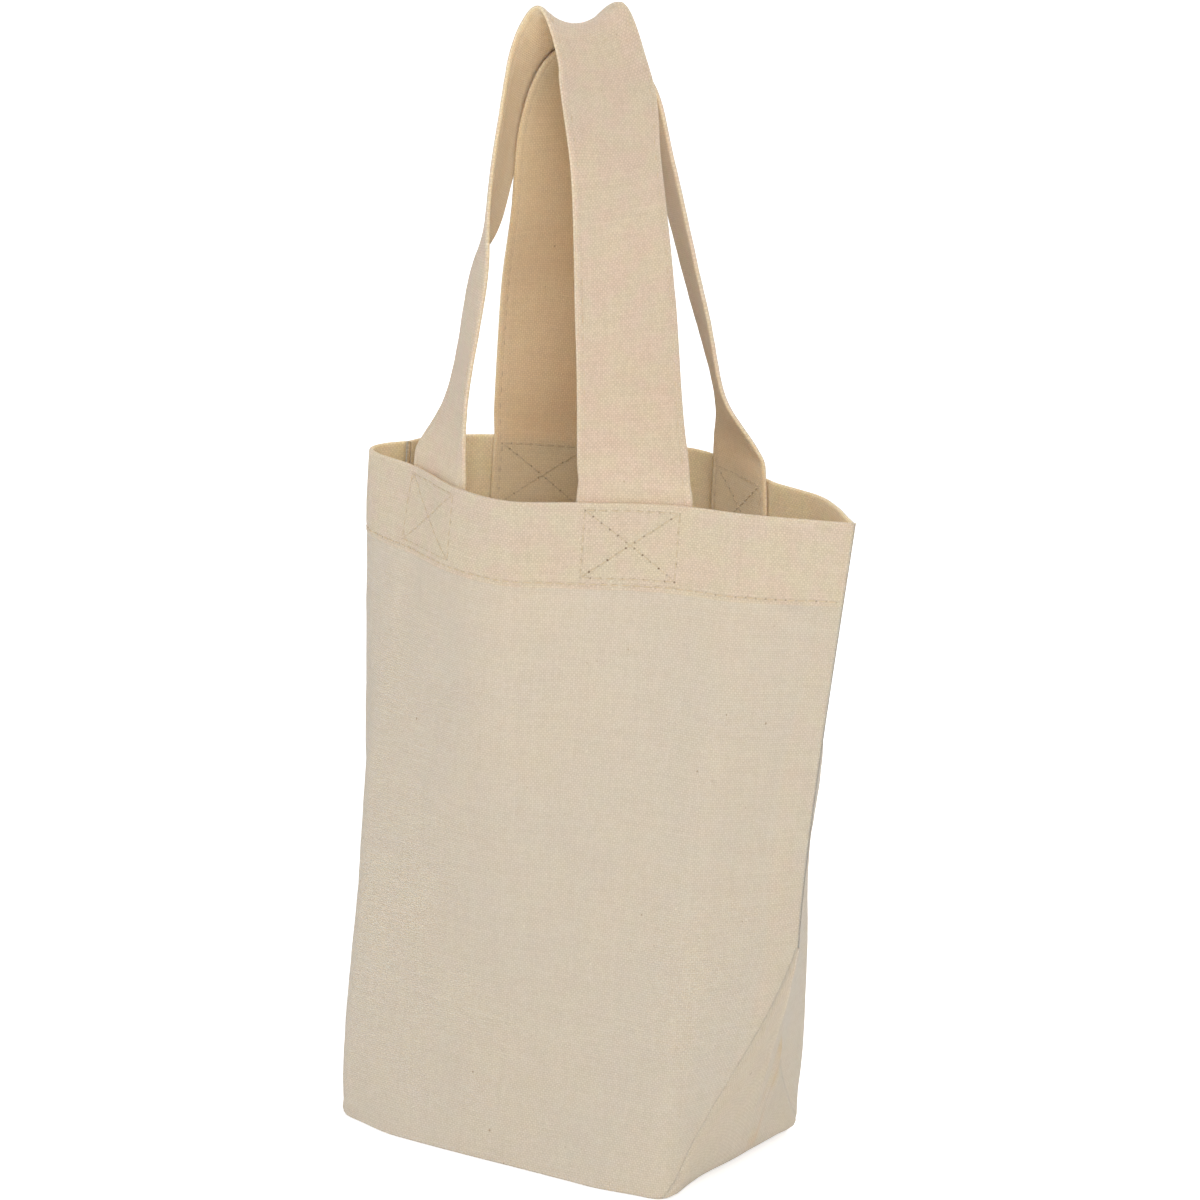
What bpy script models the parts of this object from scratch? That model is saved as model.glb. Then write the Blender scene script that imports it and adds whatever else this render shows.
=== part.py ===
import math

import bpy
import numpy as np

# overall sizes of the bag, in metres
panel_width = 0.200
body_height = 0.2134
base_length = 0.1293
base_depth = 0.0779
base_corner_radius = 0.007

# place of the bag so that its outline box is centred on the origin
stand_across = -0.01542
stand_depth = -0.00607

# how much less girth the walls show halfway up, as a share of it
waist_pinch_share = 0.014

# cloth and layer sizes
cloth_thickness = 0.0006
layer_gap = 0.0003
hem_height = 0.0265
seam_width = 0.0070
seam_thickness = 0.0012
seam_foot_height = 0.0020
ear_height = 0.0760
ear_tip_half_width = 0.0020
floor_inset = 0.0009

# straps
strap_width = 0.0340
strap_thickness = 0.0012
strap_tail = 0.0250
hinge_height = 0.0050
hinge_clearance = 0.0006
front_handle_rise = 0.1394
back_handle_rise = 0.1296
front_saddle_dip = 0.0058
back_saddle_dip = 0.0030
# height over which a handle leg turns from upright to its own lean
leg_ease_height = 0.0220

# sewing thread
thread_width = 0.0006
thread_thickness = 0.00035
hem_stitch_drop = 0.0250
box_width = 0.0265
box_top_drop = 0.0018
box_height = 0.0220
edge_stitch_inset = 0.0022

# rim of the mouth seen from above, as shares of the panel width
front_rim_across_shares = (
    -0.335, -0.357, -0.353, -0.312, -0.2185, -0.0965, 0.018, 0.1245, 0.235, 0.371, 0.520,
)
front_rim_depth_shares = (
    0.0275, -0.010, -0.045, -0.070, -0.099, -0.1625, -0.182, -0.119, -0.0575, -0.031, 0.0175,
)
back_rim_across_shares = (-0.335, -0.3115, -0.205, -0.073, 0.058, 0.1705, 0.2815, 0.4005, 0.520)
back_rim_depth_shares = (0.0275, 0.091, 0.1685, 0.2155, 0.253, 0.2155, 0.154, 0.117, 0.0175)

# where the strap ends are sewn, as shares of half a panel from its middle
front_root_shares = (-0.433, 0.315)
back_root_shares = (-0.530, 0.255)

# middle line of each handle between its two roots
front_across_shares = (-0.1514, -0.1374, -0.125, -0.1038, -0.0493, 0.008, 0.0566, 0.1188, 0.1515, 0.1605)
front_depth_shares = (-0.0795, -0.0461, -0.0233, 0.0179, 0.0282, 0.0284, 0.017, -0.04, -0.0593, -0.0574)
front_rise_shares = (0.142, 0.4, 0.53, 0.796, 0.946, 1.002, 0.881, 0.709, 0.419, 0.13)
front_turn_degrees = (-45.5, -47.6, -60.8, -71.0, -87.9, -98.4, -100.7, -104.2, -116.1, -126.7)
front_bank_shares = (-0.027, 0.013, 0.17, 0.233, 0.266, 0.044, -0.106, -0.08, 0.006, 0.051)
back_across_shares = (-0.1297, -0.0975, -0.0868, -0.0673, -0.02, 0.0316, 0.0589, 0.1164, 0.1621)
back_depth_shares = (0.1435, 0.121, 0.1089, 0.1141, 0.1387, 0.1661, 0.1689, 0.1829, 0.1949)
back_rise_shares = (0.325, 0.554, 0.771, 0.929, 0.996, 0.892, 0.712, 0.363, 0.128)
back_turn_degrees = (34.3, 54.7, 73.8, 94.0, 111.8, 126.9, 135.7, 134.4, 136.6)
back_bank_shares = (0.007, -0.024, -0.043, -0.044, -0.057, -0.058, -0.035, 0.009, 0.016)

# how far the walls beside a seam have opened to the rim's shape at the ear tip
seam_lead_share = 0.50
# how late above the ear tip the rest of it opens
seam_lead_bend = 1.5
# where along half a panel that lead begins
seam_lead_start_share = 0.5

# heights of the mesh rows on a panel, as shares of the ear height and of the wall from there to the hem
lower_row_shares = (0.0, 0.15, 0.45, 0.75)
upper_row_shares = (0.0, 0.2, 0.4, 0.6, 0.8, 1.0)
hem_row_shares = (0.5,)
fold_steps = 4
panel_columns = 41
end_crowding_share = 0.7
line_samples = 240
handle_rows = 60
base_rows = 12
ear_rows = 7
gusset_columns = 9
handle_column_shares = (-1.0, -0.5, 0.0, 0.5, 1.0)
edge_stitch_rows = 2
seam_columns = 5
strap_end_columns = 9
corner_arc_steps = 10
tangent_samples = 1.5
corner_samples = 8
end_search_share = 0.80
end_search_steps = 60
saddle_sharpness = 6
box_long_steps = 4
box_short_steps = 2
box_cross_steps = 3

sides = {"front": -1, "back": 1}
ring_store = {}


def clear_scene():
    for item in list(bpy.data.objects):
        bpy.data.objects.remove(item, do_unlink=True)


def make_material(name, colour, roughness):
    material = bpy.data.materials.new(name)
    material.use_nodes = True
    shader = material.node_tree.nodes["Principled BSDF"]
    shader.inputs["Base Color"].default_value = (*colour, 1)
    shader.inputs["Roughness"].default_value = roughness
    shader.inputs["Metallic"].default_value = 0
    return material


def smooth_line(stations, samples):
    points = np.asarray(stations, float)
    first = 2 * points[0] - points[1]
    last = 2 * points[-1] - points[-2]
    padded = np.vstack([first, points, last])
    line = []
    for step in range(samples + 1):
        place = step / samples * (len(points) - 1)
        cell = min(int(place), len(points) - 2)
        f = place - cell
        a, b, c, d = padded[cell : cell + 4]
        line.append(
            0.5
            * (
                2 * b
                + (c - a) * f
                + (2 * a - 5 * b + 4 * c - d) * f**2
                + (3 * b - a - 3 * c + d) * f**3
            )
        )
    return np.array(line)


def even_line(line, samples):
    steps = np.hypot(*np.diff(line, axis=0).T)
    run = np.concatenate([[0], np.cumsum(steps)])
    wanted = np.linspace(0, run[-1], samples + 1)
    return np.stack([np.interp(wanted, run, line[:, axis]) for axis in (0, 1)], axis=1)


def base_line(side):
    half_length = base_length / 2
    half_depth = base_depth / 2
    points = [(-half_length, 0)]
    centre_y = -half_depth + base_corner_radius
    for end, start in ((-1, math.pi), (1, 1.5 * math.pi)):
        centre_x = end * (half_length - base_corner_radius)
        for turn in np.linspace(start, start + math.pi / 2, corner_arc_steps):
            x = centre_x + base_corner_radius * math.cos(turn)
            y = centre_y + base_corner_radius * math.sin(turn)
            points.append((x, y))
    points.append((half_length, 0))
    line = np.array(points)
    line[:, 1] *= -sides[side]
    return even_line(line, line_samples)


def rim_line(side):
    across = front_rim_across_shares if side == "front" else back_rim_across_shares
    depth = front_rim_depth_shares if side == "front" else back_rim_depth_shares
    stations = np.stack([across, depth], axis=1) * panel_width
    return even_line(smooth_line(stations, line_samples), line_samples)


def girth(line_of):
    return sum(np.hypot(*np.diff(line_of(side), axis=0).T).sum() for side in sides)


def rim_shares(height):
    share = height / body_height
    tip_share = ear_height / body_height
    if share < tip_share:
        lead = seam_lead_share * share / tip_share
    else:
        rest = ((share - tip_share) / (1 - tip_share)) ** seam_lead_bend
        lead = seam_lead_share + (1 - seam_lead_share) * rest
    place = np.abs(np.linspace(-1, 1, line_samples + 1))
    near = np.clip((place - seam_lead_start_share) / (1 - seam_lead_start_share), 0, 1)
    near = near * near * (3 - 2 * near)
    return (share + (lead - share) * near)[:, None]


def ring(height):
    height = min(max(height, 0), body_height)
    key = round(height, 7)
    if key not in ring_store:
        share = rim_shares(height)
        lines = {side: base_line(side) + share * (rim_line(side) - base_line(side)) for side in sides}
        centre = sum(line.mean(axis=0) for line in lines.values()) / 2
        level = height / body_height
        wanted = (1 - level) * girth(base_line) + level * girth(rim_line)
        waist = 1 - 4 * waist_pinch_share * level * (1 - level)
        growth = wanted * waist / girth(lines.get)
        shift = np.array([stand_across, stand_depth])
        ring_store[key] = {
            side: centre + (line - centre) * growth + shift for side, line in lines.items()
        }
    return ring_store[key]


def line_point(line, share):
    place = min(max((share + 1) / 2, 0), 1) * (len(line) - 1)
    cell = min(int(place), len(line) - 2)
    return line[cell] + (place - cell) * (line[cell + 1] - line[cell])


def inward(side, share, height):
    line = ring(height)[side]
    reach = tangent_samples / line_samples
    run = line_point(line, share + reach) - line_point(line, share - reach)
    run = run / np.hypot(*run)
    return np.array([-run[1], run[0]]) * -sides[side]


def wall_point(side, share, height, depth):
    point = line_point(ring(height)[side], share) + inward(side, share, height) * depth
    return np.array([point[0], point[1], height])


def seam_axis(end, height):
    lines = ring(height)
    runs = []
    for side in sides:
        line = lines[side] if end > 0 else lines[side][::-1]
        run = line[-1 - corner_samples] - line[-1]
        runs.append(run / np.hypot(*run))
    corner = lines["front"][-1 if end > 0 else 0]
    across = runs[1] - runs[0]
    across = across / np.hypot(*across)
    return corner, across


def end_share(side, end, height, depth):
    corner, across = seam_axis(end, height)
    shares = end * np.linspace(end_search_share, 1, end_search_steps + 1)
    away = [
        float((wall_point(side, share, height, depth)[:2] - corner) @ across) * sides[side]
        for share in shares
    ]
    wanted = layer_gap / 2
    for step in range(len(shares) - 1, 0, -1):
        if away[step - 1] >= wanted > away[step]:
            part = (wanted - away[step]) / (away[step - 1] - away[step])
            return shares[step] + part * (shares[step - 1] - shares[step])
    return shares[-1]


def add_object(name, points, faces, material, origin=(0, 0, 0)):
    mesh = bpy.data.meshes.new(name)
    local = np.array(points) - np.array(origin)
    mesh.from_pydata([tuple(map(float, point)) for point in local], [], faces)
    mesh.update()
    item = bpy.data.objects.new(name, mesh)
    item.location = tuple(map(float, origin))
    bpy.context.scene.collection.objects.link(item)
    mesh.materials.append(material)
    for polygon in mesh.polygons:
        polygon.use_smooth = True
    return item


def shell(name, skin_a, skin_b, material, origin=(0, 0, 0)):
    rows, columns = skin_a.shape[:2]
    points = np.concatenate([skin_a.reshape(-1, 3), skin_b.reshape(-1, 3)])
    offset = rows * columns
    faces = []
    for row in range(rows - 1):
        for column in range(columns - 1):
            a = row * columns + column
            quad = (a, a + 1, a + columns + 1, a + columns)
            faces.append(quad)
            faces.append(tuple(offset + corner for corner in reversed(quad)))
    rim = [(0, column) for column in range(columns)]
    rim += [(row, columns - 1) for row in range(1, rows)]
    rim += [(rows - 1, column) for column in range(columns - 2, -1, -1)]
    rim += [(row, 0) for row in range(rows - 2, 0, -1)]
    rim = [row * columns + column for row, column in rim]
    for a, b in zip(rim, rim[1:] + rim[:1]):
        faces.append((b, a, offset + a, offset + b))
    return add_object(name, points, outward(points, faces), material, origin)


def outward(points, faces):
    volume = 0
    for face in faces:
        for second, third in zip(face[1:], face[2:]):
            volume += np.dot(points[face[0]], np.cross(points[second], points[third]))
    return faces if volume > 0 else [tuple(reversed(face)) for face in faces]


def sheet_normals(grid):
    along = np.gradient(grid, axis=0)
    across = np.gradient(grid, axis=1)
    normal = np.cross(along, across)
    return normal / np.linalg.norm(normal, axis=2)[:, :, None]


def sheet(name, grid, thickness, material):
    normal = sheet_normals(grid)
    return shell(name, grid + normal * thickness / 2, grid - normal * thickness / 2, material)


def column_share(column, columns):
    even = column / (columns - 1)
    return (1 - end_crowding_share) * even + end_crowding_share * (1 - math.cos(math.pi * even)) / 2


def wall_grid(side, places, start, finish, columns):
    grid = []
    for depth, height in places:
        left = start(depth, height)
        right = finish(depth, height)
        row = [
            wall_point(side, left + (right - left) * column_share(column, columns), height, depth)
            for column in range(columns)
        ]
        grid.append(row)
    return np.array(grid)


def wall_heights():
    foot = cloth_thickness + layer_gap
    hem_foot = body_height - hem_height
    heights = [foot + (ear_height - foot) * share for share in lower_row_shares]
    return heights + [ear_height + (hem_foot - ear_height) * share for share in upper_row_shares]


def panel_places(skin_depth, wall_depth, fold_radius):
    hem_foot = body_height - hem_height
    fold_depth = cloth_thickness + layer_gap / 2
    fold_height = body_height - fold_depth
    places = [(skin_depth, height) for height in wall_heights()]
    places += [(skin_depth, hem_foot + share * (fold_height - hem_foot)) for share in hem_row_shares]
    for step in range(fold_steps + 1):
        turn = math.pi * step / fold_steps
        places.append((fold_depth - fold_radius * math.cos(turn), fold_height + fold_radius * math.sin(turn)))
    for share in reversed(hem_row_shares):
        places.append((wall_depth, hem_foot + share * (fold_height - hem_foot)))
    places.append((wall_depth, hem_foot))
    return places


def make_panel(side, material):
    fold_depth = cloth_thickness + layer_gap / 2
    outer = panel_places(0, 2 * fold_depth, fold_depth)
    inner = panel_places(cloth_thickness, 2 * fold_depth - cloth_thickness, layer_gap / 2)

    def left(depth, height):
        return end_share(side, -1, height, depth)

    def right(depth, height):
        return end_share(side, 1, height, depth)

    skins = [wall_grid(side, places, left, right, panel_columns) for places in (outer, inner)]
    return shell(f"{side}_panel", skins[0], skins[1], material)


def make_gusset(material):
    top = cloth_thickness
    floor_lines = ring(0)
    rows = []
    for end in (-1, 1):
        ear = []
        for step in range(ear_rows + 1):
            share = step / ear_rows
            height = top / 2 + layer_gap + (ear_height - top) * share
            half = ear_foot_half() + (ear_tip_half_width - ear_foot_half()) * share
            ear.append(ear_row(end, height, half))
        ear = ear if end > 0 else ear[::-1]
        if end < 0:
            rows += ear
            rows += floor_rows(floor_lines, top / 2)
        else:
            rows += ear
    grid = np.array(rows)
    return sheet("bottom_gusset", grid, cloth_thickness, material)


def ear_foot_half():
    return base_depth / 2 - base_corner_radius


def ear_row(end, height, half):
    reach = layer_gap + cloth_thickness / 2
    lines = ring(height)
    row = []
    for column in range(gusset_columns):
        place = 2 * column / (gusset_columns - 1) - 1
        side = "front" if place < 0 else "back"
        share = end * (1 - 2 * abs(place) * half / panel_width)
        if place == 0:
            corner, across = seam_axis(end, height)
            away = np.array([across[1], -across[0]])
            centre = (lines["front"].mean(axis=0) + lines["back"].mean(axis=0)) / 2
            away = away if away @ (corner - centre) > 0 else -away
            point = corner + away * reach
            row.append(np.array([point[0], point[1], height]))
        else:
            row.append(wall_point(side, share, height, -reach))
    return row


def floor_rows(lines, height):
    ends = []
    for end in (-1, 1):
        row = ear_row(end, height, ear_foot_half())
        ends.append([np.array([point[0], point[1], height]) for point in row])
    left = ends[0][0][0] + floor_inset
    right = ends[1][0][0] - floor_inset
    rows = [ends[0]]
    for step in range(base_rows + 1):
        x = (left + right) / 2 - (right - left) / 2 * math.cos(math.pi * step / base_rows)
        front, back = [np.interp(x, lines[side][:, 0], lines[side][:, 1]) for side in sides]
        places = np.linspace(front, back, gusset_columns)
        rows.append([np.array([x, y, height]) for y in places])
    rows.append(ends[1])
    return rows


def make_side_seam(end, name, material):
    outer_depth = cloth_thickness + layer_gap
    inner_depth = outer_depth + seam_thickness
    top = body_height - hem_height - 2 * layer_gap
    inner_heights = [height for height in wall_heights() if seam_foot_height < height < top]
    heights = [seam_foot_height, *inner_heights, top]
    span = 2 * seam_width / panel_width
    skins = []
    for depth in (outer_depth, inner_depth):
        grid = []
        for height in heights:
            start = end_share("front", end, height, inner_depth + layer_gap)
            shares = np.linspace(start, start - end * span, seam_columns)
            grid.append([wall_point("front", share, height, depth) for share in shares])
        skins.append(np.array(grid))
    return shell(name, skins[0], skins[1], material)


def strap_depth():
    return 2 * cloth_thickness + 2 * layer_gap + strap_thickness / 2


def make_strap_end(side, name, root, material):
    near = strap_depth() - strap_thickness / 2
    far = strap_depth() + strap_thickness / 2
    half = strap_width / panel_width
    foot = body_height - strap_tail
    head = body_height + hinge_height - layer_gap / 2
    heights = [foot, (foot + body_height) / 2, body_height, head]
    skins = []
    shares = np.linspace(root - half, root + half, strap_end_columns)
    for depth in (near, far):
        skin = [[wall_point_above(side, share, height, depth) for share in shares] for height in heights]
        skins.append(np.array(skin))
    return shell(name, skins[0], skins[1], material)


def wall_point_above(side, share, height, depth):
    point = wall_point(side, share, min(height, body_height), depth)
    return np.array([point[0], point[1], height])


def root_station(side, share):
    height = body_height + hinge_height + layer_gap / 2
    half = strap_width / panel_width
    centre = wall_point_above(side, share, height, strap_depth())
    right = wall_point_above(side, share + half, height, strap_depth())
    left = wall_point_above(side, share - half, height, strap_depth())
    turn = math.atan2(right[1] - left[1], right[0] - left[0])
    middle = (left + right) / 4 + centre / 2
    return middle, math.degrees(turn)


def hinge_point(side):
    roots = front_root_shares if side == "front" else back_root_shares
    half = strap_width / panel_width
    height = body_height + hinge_height
    left, right = [wall_point_above(side, root, height, strap_depth()) for root in roots]
    run = (right - left) / np.linalg.norm(right - left)
    outward_run = np.array([-run[1], run[0], 0]) * sides[side]
    middle = (left + right) / 2
    reach = -strap_width
    for root in roots:
        for share in (root - half, root + half):
            corner = wall_point_above(side, share, height, strap_depth() - strap_thickness / 2)
            reach = max(reach, (corner - middle) @ outward_run)
    return middle + outward_run * (reach + hinge_clearance)


def handle_lines(side):
    if side == "front":
        shares = (front_across_shares, front_depth_shares, front_rise_shares)
        turns, banks = front_turn_degrees, front_bank_shares
        rise, roots, dip, last_turn = front_handle_rise, front_root_shares, front_saddle_dip, -180
    else:
        shares = (back_across_shares, back_depth_shares, back_rise_shares)
        turns, banks = back_turn_degrees, back_bank_shares
        rise, roots, dip, last_turn = back_handle_rise, back_root_shares, back_saddle_dip, 180
    floor = body_height + hinge_height + layer_gap / 2
    first, first_turn = root_station(side, roots[0])
    last, end_turn = root_station(side, roots[1])
    stations = [(*first, first_turn, 0)]
    for across, depth, lift, turn, bank in zip(*shares, turns, banks):
        x = across * panel_width + stand_across
        y = depth * panel_width + stand_depth
        stations.append((x, y, floor + lift * rise, turn, bank))
    stations.append((*last, end_turn + last_turn, 0))
    line = smooth_line(stations, handle_rows)
    return line, rise, dip


def handle_grid(side):
    line, rise, dip = handle_lines(side)
    centre = line[:, :3]
    turn = np.radians(line[:, 3])
    tangent = np.gradient(centre, axis=0)
    tangent /= np.linalg.norm(tangent, axis=1)[:, None]
    ease = np.clip((centre[:, 2] - centre[0, 2]) / leg_ease_height, 0, 1)[:, None]
    upright = np.zeros_like(tangent)
    upright[:, 2] = np.where(np.arange(len(centre)) * 2 < len(centre), 1, -1)
    tangent = ease * tangent + (1 - ease) * upright
    tangent /= np.linalg.norm(tangent, axis=1)[:, None]
    width = np.stack([np.cos(turn), np.sin(turn), np.zeros(len(turn))], axis=1)
    width -= tangent * (width * tangent).sum(axis=1)[:, None]
    width /= np.linalg.norm(width, axis=1)[:, None]
    width[:, 2] += line[:, 4]
    width /= np.linalg.norm(width, axis=1)[:, None]
    share = np.clip((centre[:, 2] - centre[0, 2]) / rise, 0, 1)
    grid = []
    for place in handle_column_shares:
        bowl = dip * (1 - place**2) * share**saddle_sharpness
        grid.append(centre + width * place * strap_width / 2 - np.outer(bowl, (0, 0, 1)))
    return np.stack(grid, axis=1)


def level_normals(grid):
    normal = sheet_normals(grid)
    for row in (0, -1):
        normal[row, :, 2] = 0
        normal[row] /= np.linalg.norm(normal[row], axis=1)[:, None]
    return normal


def make_handle(side, material):
    grid = handle_grid(side)
    lift = level_normals(grid) * strap_thickness / 2
    return shell(f"{side}_handle", grid + lift, grid - lift, material, hinge_point(side))


def make_edge_stitch(side, name, edge, material):
    grid = handle_grid(side)
    normal = level_normals(grid) * sides[side]
    near = strap_thickness / 2 + layer_gap
    if edge > 0:
        grid = grid[:, ::-1]
        normal = normal[:, ::-1]
    column_width = strap_width / 2 * (handle_column_shares[1] - handle_column_shares[0])
    skins = []
    for lift in (near, near + thread_thickness):
        skin = grid + normal * lift
        rows = []
        for inset in (edge_stitch_inset, edge_stitch_inset + thread_width):
            share = inset / column_width
            rows.append(skin[:, 0] + (skin[:, 1] - skin[:, 0]) * share)
        kept = list(range(edge_stitch_rows, len(skin) - edge_stitch_rows))
        skins.append(np.stack(rows, axis=1)[kept])
    return shell(name, skins[0], skins[1], material, hinge_point(side))


def make_hem_stitch(side, material):
    near = -layer_gap
    far = -layer_gap - thread_thickness
    middle = body_height - hem_stitch_drop
    heights = [middle - thread_width / 2, middle + thread_width / 2]
    skins = []
    for depth in (near, far):
        grid = []
        for height in heights:
            left = end_share(side, -1, height, 0)
            right = end_share(side, 1, height, 0)
            places = [column_share(column, panel_columns) for column in range(1, panel_columns - 1)]
            shares = [left + (right - left) * place for place in places]
            grid.append([wall_point(side, share, height, depth) for share in shares])
        skins.append(np.array(grid))
    return shell(f"{side}_hem_stitch", skins[0], skins[1], material)


def make_box_stitch(side, name, root, material):
    half = box_width / 2
    tall = box_height / 2
    arm = thread_width / 2
    lean = thread_width * math.hypot(half, tall) / (2 * tall)
    rise = thread_width * math.hypot(half, tall) / (2 * half)
    points = []
    faces = []

    def place(u, v):
        key = (round(u, 7), round(v, 7))
        if key not in points:
            points.append(key)
        return points.index(key)

    def strip(a, b, c, d, steps):
        for step in range(steps):
            low = step / steps
            high = (step + 1) / steps
            quad = []
            for start, finish, share in ((a, b, low), (a, b, high), (d, c, high), (d, c, low)):
                u = start[0] + (finish[0] - start[0]) * share
                v = start[1] + (finish[1] - start[1]) * share
                quad.append(place(u, v))
            faces.append(tuple(quad))

    corners = [(x, y) for x in (-1, 1) for y in (-1, 1)]
    outer = {(x, y): (x * half, y * tall) for x, y in corners}
    across = {(x, y): (x * (half - arm - lean), y * (tall - 2 * arm)) for x, y in corners}
    upright = {(x, y): (x * (half - 2 * arm), y * (tall - arm - rise)) for x, y in corners}
    hub_v = {y: (0, y * rise) for y in (-1, 1)}
    hub_h = {x: (x * lean, 0) for x in (-1, 1)}
    for y in (-1, 1):
        strip(outer[-1, y], outer[1, y], across[1, y], across[-1, y], box_long_steps)
    for x in (-1, 1):
        strip(outer[x, -1], outer[x, 1], upright[x, 1], upright[x, -1], box_short_steps)
        for y in (-1, 1):
            strip(across[x, y], hub_v[y], hub_h[x], upright[x, y], box_cross_steps)
            corner = (outer[x, y], across[x, y], upright[x, y])
            faces.append(tuple(place(*point) for point in corner))
    faces.append(tuple(place(*point) for point in (hub_v[-1], hub_h[1], hub_v[1], hub_h[-1])))
    middle = body_height - box_top_drop - tall
    skins = []
    for depth in (-layer_gap, -layer_gap - thread_thickness):
        skins.append([wall_point(side, root + 2 * u / panel_width, middle + v, depth) for u, v in points])
    return slab(name, points, faces, skins, material)


def slab(name, flat, faces, skins, material):
    turned = []
    for face in faces:
        area = 0
        for a, b in zip(face, face[1:] + face[:1]):
            area += flat[a][0] * flat[b][1] - flat[b][0] * flat[a][1]
        turned.append(face if area > 0 else tuple(reversed(face)))
    edges = {}
    for face in turned:
        for a, b in zip(face, face[1:] + face[:1]):
            edges[a, b] = True
    offset = len(flat)
    solid = list(turned) + [tuple(offset + i for i in reversed(face)) for face in turned]
    for a, b in edges:
        if (b, a) not in edges:
            solid.append((b, a, offset + a, offset + b))
    points = np.concatenate([np.array(skin) for skin in skins])
    return add_object(name, points, outward(points, solid), material)


def build():
    clear_scene()
    cloth = make_material("natural_cotton_cloth", (0.66, 0.58, 0.46), 0.9)
    strap = make_material("natural_cotton_strap", (0.70, 0.60, 0.47), 0.9)
    edging = make_material("overlocked_cotton_edge", (0.72, 0.64, 0.52), 0.95)
    thread = make_material("natural_cotton_thread", (0.76, 0.69, 0.57), 0.8)
    for side in sides:
        make_panel(side, cloth)
    make_gusset(cloth)
    for end, name in ((-1, "left_side_seam"), (1, "right_side_seam")):
        make_side_seam(end, name, edging)
    for side, roots in (("front", front_root_shares), ("back", back_root_shares)):
        for place, root in zip(("left", "right"), roots):
            make_strap_end(side, f"{side}_{place}_strap_end", root, strap)
            make_box_stitch(side, f"{side}_{place}_box_stitch", root, thread)
        make_hem_stitch(side, thread)
        make_handle(side, strap)
        for place, edge in (("first", -1), ("second", 1)):
            make_edge_stitch(side, f"{side}_handle_{place}_edge_stitch", edge, thread)


build()
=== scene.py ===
"""A small canvas tote bag, sewn and standing open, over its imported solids."""

import math

import bpy
import numpy as np
from mathutils import Matrix, Vector


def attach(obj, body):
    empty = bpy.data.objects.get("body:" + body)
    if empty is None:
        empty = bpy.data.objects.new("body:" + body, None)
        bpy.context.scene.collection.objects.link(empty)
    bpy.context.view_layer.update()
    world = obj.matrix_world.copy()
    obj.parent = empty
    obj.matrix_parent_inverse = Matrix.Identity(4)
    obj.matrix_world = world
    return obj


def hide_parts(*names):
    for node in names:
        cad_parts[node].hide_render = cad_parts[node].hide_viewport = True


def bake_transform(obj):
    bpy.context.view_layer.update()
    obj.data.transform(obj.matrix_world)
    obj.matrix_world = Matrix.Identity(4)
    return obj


# the bag's shape, in metres: the same values as in the part's source
panel_width = 0.200
body_height = 0.2134
base_length = 0.1293
base_depth = 0.0779
base_corner_radius = 0.007
stand_across = -0.01542
stand_depth = -0.00607
waist_pinch_share = 0.014
ear_height = 0.0760
seam_lead_share = 0.50
seam_lead_bend = 1.5
seam_lead_start_share = 0.5
hem_height = 0.0265
stitch_drop = 0.0250
strap_width = 0.0340
strap_tail = 0.0250
hinge_height = 0.0050
layer_gap = 0.0003
strap_thickness = 0.0012
leg_ease_height = 0.0220
saddle_sharpness = 6
seam_width = 0.0070
# the rims' stations: places across and in depth, as shares of the panel's width
rim_tables = {
    "front": (
        (-0.335, -0.357, -0.353, -0.312, -0.2185, -0.0965, 0.018, 0.1245, 0.235, 0.371, 0.520),
        (0.0275, -0.010, -0.045, -0.070, -0.099, -0.1625, -0.182, -0.119, -0.0575, -0.031, 0.0175),
    ),
    "back": (
        (-0.335, -0.3115, -0.205, -0.073, 0.058, 0.1705, 0.2815, 0.4005, 0.520),
        (0.0275, 0.091, 0.1685, 0.2155, 0.253, 0.2155, 0.154, 0.117, 0.0175),
    ),
}
root_shares = {"front": (-0.433, 0.315), "back": (-0.530, 0.255)}
handle_rises = {"front": 0.1394, "back": 0.1296}
saddle_dips = {"front": 0.0058, "back": 0.0030}
# the handles' stations: across, depth, rise, turn in degrees and bank
handle_tables = {
    "front": (
        (-0.1514, -0.1374, -0.125, -0.1038, -0.0493, 0.008, 0.0566, 0.1188, 0.1515, 0.1605),
        (-0.0795, -0.0461, -0.0233, 0.0179, 0.0282, 0.0284, 0.017, -0.04, -0.0593, -0.0574),
        (0.142, 0.4, 0.53, 0.796, 0.946, 1.002, 0.881, 0.709, 0.419, 0.13),
        (-45.5, -47.6, -60.8, -71.0, -87.9, -98.4, -100.7, -104.2, -116.1, -126.7),
        (-0.027, 0.013, 0.17, 0.233, 0.266, 0.044, -0.106, -0.08, 0.006, 0.051),
    ),
    "back": (
        (-0.1297, -0.0975, -0.0868, -0.0673, -0.02, 0.0316, 0.0589, 0.1164, 0.1621),
        (0.1435, 0.121, 0.1089, 0.1141, 0.1387, 0.1661, 0.1689, 0.1829, 0.1949),
        (0.325, 0.554, 0.771, 0.929, 0.996, 0.892, 0.712, 0.363, 0.128),
        (34.3, 54.7, 73.8, 94.0, 111.8, 126.9, 135.7, 134.4, 136.6),
        (0.007, -0.024, -0.043, -0.044, -0.057, -0.058, -0.035, 0.009, 0.016),
    ),
}

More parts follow.
